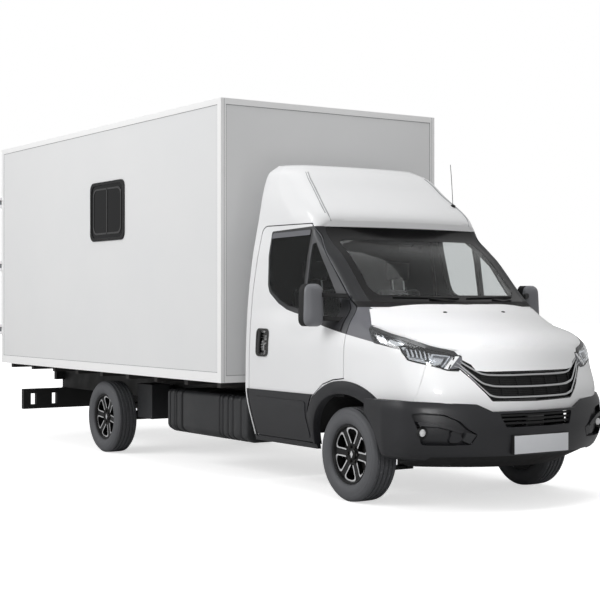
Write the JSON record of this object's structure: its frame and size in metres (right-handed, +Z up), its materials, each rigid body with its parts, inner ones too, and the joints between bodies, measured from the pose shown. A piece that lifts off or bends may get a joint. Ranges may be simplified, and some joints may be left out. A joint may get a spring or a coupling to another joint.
{
  "type": "box-bodied ambulance on a light truck chassis",
  "caption": "White box-bodied ambulance: cab with raked bonnet and roof fairing, tall plain box with side windows and twin rear doors, single-wheel axles.",
  "frame": {"origin": "on the ground, below the middle of the bounding box", "axes": "+X forward, +Y to the left of the vehicle, +Z up"},
  "size_m": [7.3588, 2.3778, 3.156],
  "materials": {
    "cab_paint": "gloss",
    "box_panel": "satin",
    "box_trim": "satin",
    "floor_board": "anti-slip coated",
    "chassis_paint": "satin",
    "dash_plastic": "grained",
    "cab_glass": "clear",
    "seal_rubber": "matte",
    "dark_plastic": "fine grain",
    "cast_alloy": "cast",
    "exhaust_steel": "dull",
    "grille_black": "gloss",
    "lamp_lens": "clear over dark",
    "red_lens": "gloss",
    "seat_fabric": "woven",
    "box_window": "gloss",
    "cast_iron": "as cast",
    "tyre_rubber": "matte",
    "liner_plastic": "rough",
    "alloy_wheel": "machined and painted"
  },
  "bodies": {
    "vehicle": {"box_edge_profiles": "box_trim", "box_floor": "floor_board", "box_front_wall": "box_panel", "box_roof": "box_panel", "box_side_left": "box_panel", "box_side_right": "box_panel", "cab_back_wall": "cab_paint", "cab_floor": "chassis_paint", "cab_roof": "cab_paint", "cab_shell": "cab_paint", "chassis_frame": "chassis_paint", "dashboard": "dash_plastic", "door_seals": "seal_rubber", "engine_and_gearbox": "cast_alloy", "equipment_case": "dark_plastic", "exhaust": "exhaust_steel", "front_bumper": "dark_plastic", "front_panels": "cab_paint", "front_suspension": "chassis_paint", "fuel_tank": "dark_plastic", "grille": "grille_black", "headlamps": "lamp_lens", "propshaft": "chassis_paint", "rear_axle": "chassis_paint", "rear_lamps": "red_lens", "rear_underrun": "chassis_paint", "seats": "seat_fabric", "side_windows": "box_window", "steering_wheel": "dash_plastic", "wheel_arch_trims": "dark_plastic", "wheel_liners": "liner_plastic", "windscreen": "cab_glass"},
    "front_right_wheel": {"tyre_front_right": "tyre_rubber", "wheel_front_right": "alloy_wheel"},
    "front_left_wheel": {"tyre_front_left": "tyre_rubber", "wheel_front_left": "alloy_wheel"},
    "rear_right_wheel": {"tyre_rear_right": "tyre_rubber", "wheel_rear_right": "alloy_wheel"},
    "rear_left_wheel": {"tyre_rear_left": "tyre_rubber", "wheel_rear_left": "alloy_wheel"},
    "right_knuckle": {"steering_knuckle_right": "cast_iron"},
    "left_knuckle": {"steering_knuckle_left": "cast_iron"},
    "right_cab_door": {"door_right": "cab_paint", "door_glass_right": "cab_glass", "door_trim_right": "dark_plastic", "mirror_right": "dark_plastic"},
    "left_cab_door": {"door_left": "cab_paint", "door_glass_left": "cab_glass", "door_trim_left": "dark_plastic", "mirror_left": "dark_plastic"},
    "bonnet": {"bonnet": "cab_paint"},
    "right_rear_door": {"rear_door_right": "box_panel"},
    "left_rear_door": {"rear_door_left": "box_panel"}
  },
  "joints": [
    {"name": "right_steering", "type": "hinge", "parent": "vehicle", "child": "right_knuckle", "pos_m": [2.6345, -0.69, 0.3495], "axis": [0, 0, 1], "range_deg": [-35, 35]},
    {"name": "front_right_wheel_spin", "type": "hinge", "parent": "right_knuckle", "child": "front_right_wheel", "pos_m": [2.6345, -0.85, 0.3495], "axis": [0, 1, 0], "continuous": true},
    {"name": "rear_right_wheel_spin", "type": "hinge", "parent": "vehicle", "child": "rear_right_wheel", "pos_m": [-1.4655, -0.85, 0.3495], "axis": [0, 1, 0], "continuous": true},
    {"name": "right_cab_door_hinge", "type": "hinge", "parent": "vehicle", "child": "right_cab_door", "pos_m": [2.6045, -0.985, 1.2], "axis": [0, 0, 1], "range_deg": [0, 65]},
    {"name": "right_rear_door_hinge", "type": "hinge", "parent": "vehicle", "child": "right_rear_door", "pos_m": [-3.6705, -1.145, 1.9], "axis": [0, 0, 1], "range_deg": [0, 270]},
    {"name": "left_steering", "type": "hinge", "parent": "vehicle", "child": "left_knuckle", "pos_m": [2.6345, 0.69, 0.3495], "axis": [0, 0, 1], "range_deg": [-35, 35]},
    {"name": "front_left_wheel_spin", "type": "hinge", "parent": "left_knuckle", "child": "front_left_wheel", "pos_m": [2.6345, 0.85, 0.3495], "axis": [0, 1, 0], "continuous": true},
    {"name": "rear_left_wheel_spin", "type": "hinge", "parent": "vehicle", "child": "rear_left_wheel", "pos_m": [-1.4655, 0.85, 0.3495], "axis": [0, 1, 0], "continuous": true},
    {"name": "left_cab_door_hinge", "type": "hinge", "parent": "vehicle", "child": "left_cab_door", "pos_m": [2.6045, 0.985, 1.2], "axis": [0, 0, -1], "range_deg": [0, 65]},
    {"name": "left_rear_door_hinge", "type": "hinge", "parent": "vehicle", "child": "left_rear_door", "pos_m": [-3.6705, 1.145, 1.9], "axis": [0, 0, -1], "range_deg": [0, 270]},
    {"name": "bonnet_hinge", "type": "hinge", "parent": "vehicle", "child": "bonnet", "pos_m": [2.6245, 0, 1.42], "axis": [0, -1, 0], "range_deg": [0, 50]}
  ],
  "couplings": [
    {"joint": "left_steering", "follows": "right_steering", "ratio": 1}
  ]
}
